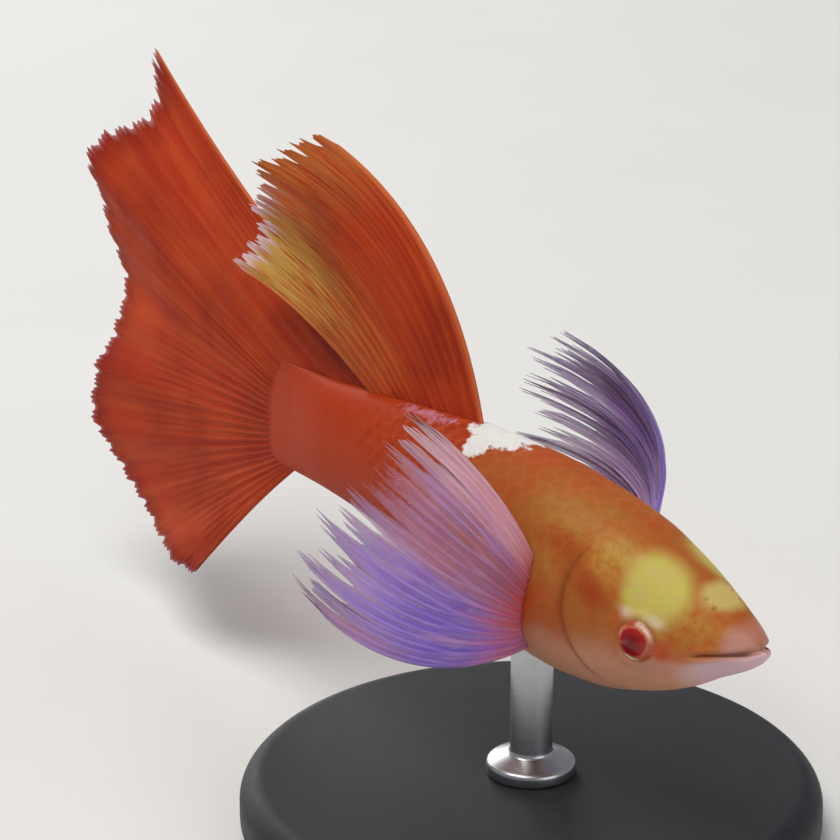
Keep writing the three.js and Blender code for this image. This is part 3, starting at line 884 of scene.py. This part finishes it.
def caudal_fin(material):
    rise = spread([16.5, 18.5, 14, 4, -8, -20, -33])
    end_rise = spread([31, 27, 18, 3, -8, -21, -46])
    length = spread([26.6, 21.5, 18.6, 16.3, 17.4, 14.8, 9.3])

    def way(u, degrees):
        return heading(BODY_LENGTH + 0.3, np.ones_like(u), 0, np.tan(np.radians(degrees(u))))

    def root(u):
        station = BODY_LENGTH - 0.2 - CAUDAL_FORWARD * (1 - smooth(u, 0, 0.3))
        back = back_at(station / BODY_LENGTH)
        belly = belly_at(station / BODY_LENGTH)
        return place(station, 0, (back - (back + belly) * u) * 0.92)

    def reach(u):
        tip = 0.035 * bell(u, 0.05, 0.03)
        hollow = 0.05 * bell(u, 0.14, 0.05)
        return (CAUDAL_STRETCH + tip - hollow) * length(u) + 0.4

    def wave(u, v):
        broad = 0.5 * np.sin(2 * math.pi * (2.6 * u + 0.1))
        fine = 0.1 * np.sin(2 * math.pi * (9 * u + 0.4 * v))
        clear_of_dorsal = 0.3 * (1 - smooth(u, 0.05, 0.25)) * smooth(v, 0.02, 0.3)
        return v**2 * (broad + fine) + clear_of_dorsal

    def fields(u, v):
        lower_edge = 0.5 * smooth(u, 0.86, 1) * smooth(v, 0.4, 1)
        # Painted shadow of the dorsal fin over the tail fin's upper rays near the root
        dorsal_shadow = 0.45 * (1 - smooth(u, 0.05, 0.3)) * (1 - smooth(v, 0.25, 0.6))
        return {
            "edge": 0.8 * smooth(v, 0.88, 1) + lower_edge + dorsal_shadow,
            "yellow": 0 * u,
            "pale": 0.3 * smooth(v, 0.975, 1),
            "rim": bell(u, 0, 0.012),
        }

    Fin(
        "tail_fin",
        rays=30,
        root=root,
        start=lambda u: way(u, rise),
        end=lambda u: way(u, end_rise),
        reach=reach,
        fields=fields,
        wave=wave,
        steps=118,
        per_ray=8,
        fray=0.035,
        uneven=0.025,
    ).make(material, "red_fin", "caudal_fin")


# Dorsal fin, from its front ray back: its first and last stations, and how far its rear swings to the right
DORSAL_START = 13.9
DORSAL_END = 19.2
DORSAL_SWING = 0.5


def dorsal_fin(material):
    rise = spread([70, 60, 50, 42, 34])
    end_rise = spread([4, -1, -1, 3, 9])
    length = spread([14.9, 15.3, 13.8, 11.9, 10.2])

    def station(u):
        return DORSAL_START + (DORSAL_END - DORSAL_START) * u

    def way(u, degrees):
        angle = np.radians(degrees(u))
        return heading(station(u), np.cos(angle), 0, np.sin(angle))

    def wave(u, v):
        broad = 0.4 * np.sin(2 * math.pi * (1.3 * u + 0.35))
        fine = 0.08 * np.sin(2 * math.pi * (6 * u))
        return v**2 * (broad + fine) - DORSAL_SWING * smooth(u, 0.6, 1) * v

    def fields(u, v):
        rear = smooth(u, 0.35, 0.8) * (0.25 * smooth(v, 0.1, 0.3) + 0.75 * smooth(v, 0.35, 0.8))
        return {
            "edge": 0.4 * smooth(v, 0.9, 1),
            "yellow": rear + 0.35 * smooth(v, 0.6, 0.95),
            "pale": smooth(v, 0.9, 1) * smooth(u, 0.3, 0.6),
            "rim": bell(u, 0, 0.02) + 0.8 * bell(u, 1, 0.03) * smooth(v, 0.15, 0.4),
        }

    Fin(
        "back_fin",
        rays=16,
        root=lambda u: place(station(u), 0, back_at(station(u) / BODY_LENGTH) - ROOT_DEPTH),
        start=lambda u: way(u, rise),
        end=lambda u: way(u, end_rise),
        reach=lambda u: length(u) + ROOT_DEPTH,
        fields=fields,
        wave=wave,
        fray=0.1,
        uneven=0.06,
    ).make(material, "red_fin", "dorsal_fin")


# Pectoral fins, from the upper ray down: their roots slant from one level to the other
PECTORAL_STATION = 8.5
PECTORAL_TOP = -1.3
PECTORAL_FOOT = -2.9
PECTORAL_STRETCH = 1.12

# Each fin's lengths, and its first and last rays at root and tip as backward, outward and upward shares
FAR_FIN = {
    "first": (0.04, 0.87, 0.48),
    "last": (0.07, 0.96, 0.26),
    "first_end": (0.65, -0.69, 0.32),
    "last_end": (0.78, -0.62, -0.02),
    "lengths": (10.8, 11.6, 12, 12, 11.8),
}
NEAR_FIN = {
    "first": (0, 0.45, 0.9),
    "last": (0.07, 0.94, -0.33),
    "first_end": (0.9, 0.3, 0.28),
    "last_end": (0.73, 0.2, 0.66),
    "lengths": (8.4, 8.6, 8.8, 9.4, 10),
}


def near_fin_fields(u, v):
    """Pink-pearl upper rays, a pinkish film, violet among the lower rays, a pale lower edge, and a faint
    painted glow over the lower rays, as if lit through.
    """
    band = 1 - smooth(u, 0.12, 0.28)
    pale_edge = 0.85 * smooth(u, 0.82, 0.94) * smooth(v, 0.5, 0.7)
    clear = 0.46 * bell(u, 0.38, 0.14) * smooth(v, 0.15, 0.4)
    return {
        "violet": smooth(v, 0.12, 0.35) * smooth(u, 0.45, 0.65) * (1 - pale_edge),
        "band": np.maximum(band, 0.2 * (1 - smooth(u, 0.4, 0.8))),
        "flush": (1 - smooth(v, 0.14, 0.46)) * (1 - 0.5 * smooth(u, 0.5, 0.9)),
        # Painted glow, as if the film were lit through
        "light": 0.16 * smooth(u, 0.4, 0.7),
        "body": 0.84 + 0.15 * band - 0.35 * smooth(v, 0.75, 1) - clear,
    }


def far_fin_fields(u, v):
    """Violet-blue leading rays, pale pink trailing rays, a clear film towards the tips, and a painted glow
    over the whole film, strongest on the trailing rays, as if lit through.
    """
    leading = 1 - smooth(u, 0.4, 0.75)
    trailing = smooth(u, 0.6, 0.85)
    return {
        "violet": np.maximum(leading, 0.85 * (1 - trailing)) * (1 - 0.3 * smooth(v, 0.75, 1)),
        "band": trailing * (1 - 0.5 * smooth(v, 0.7, 1)),
        "flush": 0.4 * (1 - smooth(v, 0.1, 0.25)),
        # Painted glow, as if the film were lit through
        "light": 0.25 + 0.4 * smooth(u, 0.4, 0.8),
        "body": 0.8 + 0.1 * np.maximum(leading, trailing) - 0.42 * smooth(v, 0.65, 1),
    }


def pectoral_fin(name, node, side, shape, fields, material):
    length = spread(shape["lengths"])

    def between(first, last):
        ways = [heading(PECTORAL_STATION, *shape[key], side) for key in (first, last)]
        return lambda u: unit(ways[0] * (1 - u)[:, None] + ways[1] * u[:, None])

    def root(u):
        station = PECTORAL_STATION + 0.2 * u
        half = width_at(station / BODY_LENGTH)
        level = PECTORAL_TOP + (PECTORAL_FOOT - PECTORAL_TOP) * u
        return place(station, side * (half - ROOT_DEPTH - 0.5 * u), level)

    Fin(
        name,
        rays=13,
        root=root,
        start=between("first", "last"),
        end=between("first_end", "last_end"),
        reach=lambda u: PECTORAL_STRETCH * length(u) + ROOT_DEPTH,
        fields=fields,
        wave=lambda u, v: 0.12 * v**2 * np.sin(2 * math.pi * (3 * u + 0.2 * v)),
        per_ray=11,
        fray=0.28,
        uneven=0.1,
        membrane=0.08,
    ).make(material, "pearl_fin", node)


def plain_fields(u, v):
    """Plain red with a darker margin and pale tips."""
    return {"edge": 0.3 * smooth(v, 0.85, 1), "yellow": 0 * u, "pale": 0.4 * smooth(v, 0.8, 1), "rim": 0 * u}


PELVIC_STATION = 12.4
PELVIC_DEPTH = 0.75


def pelvic_fin(name, node, side, material):
    level = PELVIC_DEPTH - belly_at(PELVIC_STATION / BODY_LENGTH)
    length = spread([3.4, 4, 2.6])
    Fin(
        name,
        rays=7,
        root=lambda u: place(PELVIC_STATION + 0.5 * u, side * (0.75 + 0.35 * u), level),
        start=lambda u: heading(PELVIC_STATION, 0.6, 0.25 + 0.4 * u, -0.8, side),
        end=lambda u: heading(PELVIC_STATION, 0.95, 0.1 + 0.4 * u, -0.1, side),
        reach=lambda u: length(u) + 0.6,
        fields=plain_fields,
        steps=50,
        fray=0.08,
    ).make(material, "red_fin", node)


# Gonopodium: the anal fin of a male, narrow and thick, with its tip bent backward
GONOPODIUM_STATION = 14.9
GONOPODIUM_DEPTH = 0.7


def anal_fin(material):
    level = GONOPODIUM_DEPTH - belly_at(GONOPODIUM_STATION / BODY_LENGTH)
    Fin(
        "anal_fin",
        rays=3,
        root=lambda u: place(GONOPODIUM_STATION + 0.9 * u, 0, level),
        start=lambda u: heading(GONOPODIUM_STATION, 0.55, 0 * u, -0.9),
        end=lambda u: heading(GONOPODIUM_STATION, 1, 0, 0.42 + 0.04 * u),
        reach=lambda u: 7 - 1.7 * u,
        fields=plain_fields,
        steps=60,
        fray=0.02,
        membrane=0.3,
        ridge=0.16,
    ).make(material, "red_fin", "gonopodium")


def lathe(name, profile, sides, material, node):
    """A turned piece about the upright through the origin, from radius and height pairs."""
    turn = 2 * math.pi * np.arange(sides) / sides
    rings = [[(r * math.cos(t), r * math.sin(t), z) for t in turn] for r, z in profile]
    points = np.array(rings).reshape(-1, 3)
    piece = add_closed_mesh(name, points, tube_faces(len(profile), sides), material)
    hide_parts(node)
    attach(piece, "root")


def rounded(corners, radius, steps=6):
    """A profile whose inner corners are rounded."""
    points = [corners[0]]
    for before, corner, after in zip(corners, corners[1:], corners[2:]):
        b, c, a = (np.array(p, float) for p in (before, corner, after))
        r = min(radius, np.linalg.norm(b - c) / 2, np.linalg.norm(a - c) / 2)
        start = c + unit(b - c) * r
        end = c + unit(a - c) * r
        for t in np.linspace(0, 1, steps):
            points.append(tuple((1 - t) ** 2 * start + 2 * t * (1 - t) * c + t**2 * end))
    points.append(corners[-1])
    return points


def make_stand():
    base = [
        (AXIS_RADIUS, 0),
        (BASE_RADIUS - BASE_FOOT_EDGE, 0),
        (BASE_RADIUS, BASE_FOOT_EDGE),
        (BASE_RADIUS, BASE_HEIGHT - BASE_TOP_EDGE),
        (BASE_RADIUS - BASE_TOP_EDGE, BASE_HEIGHT),
        (AXIS_RADIUS, BASE_HEIGHT),
    ]
    lathe("display_base", rounded(base, 0.35), 160, base_material(), "stand_base")
    top = BASE_HEIGHT + ROD_LENGTH + ROD_SUNK
    collar = BASE_HEIGHT + COLLAR_HEIGHT
    rod = [
        (AXIS_RADIUS, BASE_HEIGHT),
        (COLLAR_RADIUS, BASE_HEIGHT),
        (COLLAR_RADIUS, collar),
        (ROD_RADIUS, collar + COLLAR_SLOPE),
        (ROD_RADIUS, top),
        (AXIS_RADIUS, top),
    ]
    lathe("display_rod", rounded(rod, 0.15), 64, steel_material(), "stand_rod")


def add_light(name, direction, distance, size, power, tint=(1, 1, 1)):
    """A square lamp that looks at the middle of the fish, in metres and watts."""
    data = bpy.data.lights.new(name, "AREA")
    data.size = size
    data.energy = power
    data.color = tint
    lamp = bpy.data.objects.new(name, data)
    target = Vector(place(BODY_LENGTH * 0.5, 0.0, 0.0) * MM)
    way = Vector(direction).normalized()
    lamp.location = target + way * distance
    lamp.rotation_euler = (-way).to_track_quat("-Z", "Y").to_euler()
    bpy.context.scene.collection.objects.link(lamp)


def view_axes():
    """Rightward and upward directions of the camera's view, and the one towards the camera."""
    azimuth = math.radians(CAMERA_AZIMUTH)
    elevation = math.radians(CAMERA_ELEVATION)
    level = math.cos(elevation)
    toward = Vector((math.cos(azimuth) * level, math.sin(azimuth) * level, math.sin(elevation)))
    right = Vector((-math.sin(azimuth), math.cos(azimuth), 0))
    return right, toward.cross(right), toward


def make_camera():
    data = bpy.data.cameras.new("camera")
    data.lens = LENS
    data.sensor_width = 36
    data.clip_start = 0.005
    camera = bpy.data.objects.new("camera", data)
    right, up, toward = view_axes()
    snout = Vector(place(0.0, 0.0, 0.0))
    where = (snout - right * SNOUT_RIGHT + up * SNOUT_BELOW + toward * CAMERA_DISTANCE) * MM
    turn = Matrix((right, up, toward)).transposed()
    camera.matrix_world = Matrix.Translation(where) @ turn.to_4x4()
    bpy.context.scene.collection.objects.link(camera)
    bpy.context.scene.camera = camera


def make_stage():
    corners = [(x * FLOOR_REACH, y * FLOOR_REACH, 0) for x, y in ((-1, -1), (1, -1), (1, 1), (-1, 1))]
    floor = add_mesh("floor", corners, [[0, 1, 2, 3]], floor_material())
    right, up, toward = view_axes()
    warm = (1, 0.98, 0.95)
    cool = (0.95, 0.97, 1)
    add_light("key", toward * 0.6 + up * 1.0 - right * 0.35, distance=0.4, size=0.26, power=1.12, tint=warm)
    add_light("fill", toward * 1.0 + right * 0.9 + up * 0.1, distance=0.5, size=0.35, power=0.45, tint=cool)
    add_light("rim", up * 0.8 - toward * 0.9 - right * 0.5, distance=0.4, size=0.25, power=0.6)
    world = bpy.data.worlds.new("studio")
    world.use_nodes = True
    background = world.node_tree.nodes["Background"]
    background.inputs["Color"].default_value = (0.9, 0.92, 0.95, 1)
    background.inputs["Strength"].default_value = 0.3
    bpy.context.scene.world = world
    bpy.context.scene.view_settings.view_transform = "Standard"


make_camera()
make_stage()
make_skin(skin_material())
eye = eye_material()
make_eye(1, eye)
make_eye(-1, eye)
red_fin = red_fin_material()
caudal_fin(red_fin)
dorsal_fin(red_fin)
pearl_fin = pearl_fin_material()
pectoral_fin("side_fin_left", "pectoral_fin_left", 1, FAR_FIN, far_fin_fields, pearl_fin)
pectoral_fin("side_fin_right", "pectoral_fin_right", -1, NEAR_FIN, near_fin_fields, pearl_fin)
pelvic_fin("belly_fin_left", "pelvic_fin_left", 1, red_fin)
pelvic_fin("belly_fin_right", "pelvic_fin_right", -1, red_fin)
anal_fin(red_fin)
make_stand()
